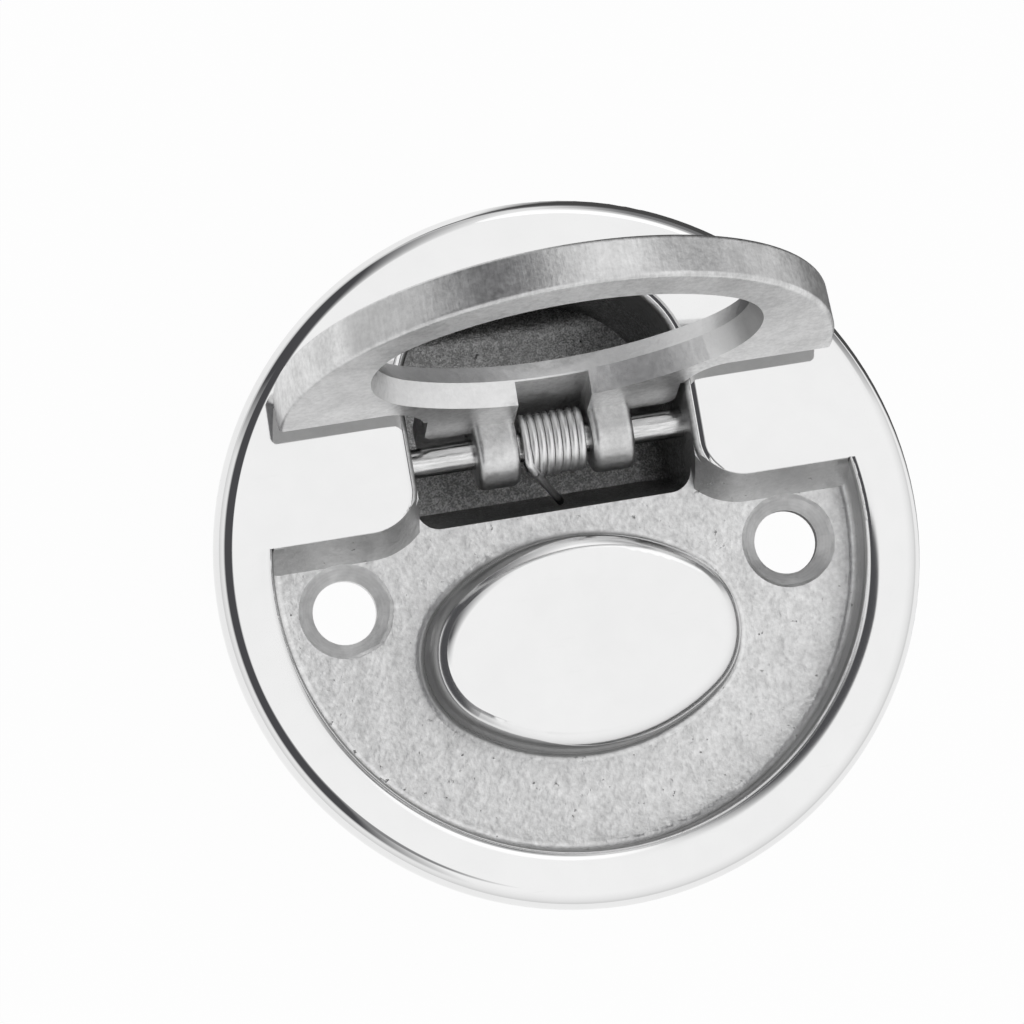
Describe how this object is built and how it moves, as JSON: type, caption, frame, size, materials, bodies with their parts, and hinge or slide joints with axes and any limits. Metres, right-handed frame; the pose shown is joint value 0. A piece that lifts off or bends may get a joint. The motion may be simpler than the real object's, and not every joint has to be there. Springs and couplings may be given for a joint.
{
  "type": "flush lift ring",
  "caption": "Round flush lift ring for a deck hatch: a countersunk cast flange with a folding D-shaped pull ring on a sprung hinge pin.",
  "frame": {"origin": "centre of the round flange at its seating face, the underside that rests on the deck", "axes": "+Z out of the polished face, +X along the hinge pin, +Y from the middle towards the hinge"},
  "size_m": [0.076, 0.076, 0.0599],
  "materials": {
    "polished_steel": "mirror-polished face and edges, as-cast floor of the recess and pocket",
    "pin_steel": "drawn bright bar",
    "spring_steel": "drawn spring wire",
    "cast_steel": "tumbled casting with a linished rim"
  },
  "bodies": {
    "base": {"base_casting": "polished_steel", "hinge_pin": "pin_steel", "torsion_spring": "spring_steel"},
    "ring": {"lift_ring": "cast_steel"}
  },
  "joints": [
    {"name": "ring_hinge", "type": "hinge", "parent": "base", "child": "ring", "pos_m": [0, 0.0124, -0.0037], "axis": [1, 0, 0], "range_deg": [0, 102.5], "deforming": ["torsion_spring"]}
  ]
}
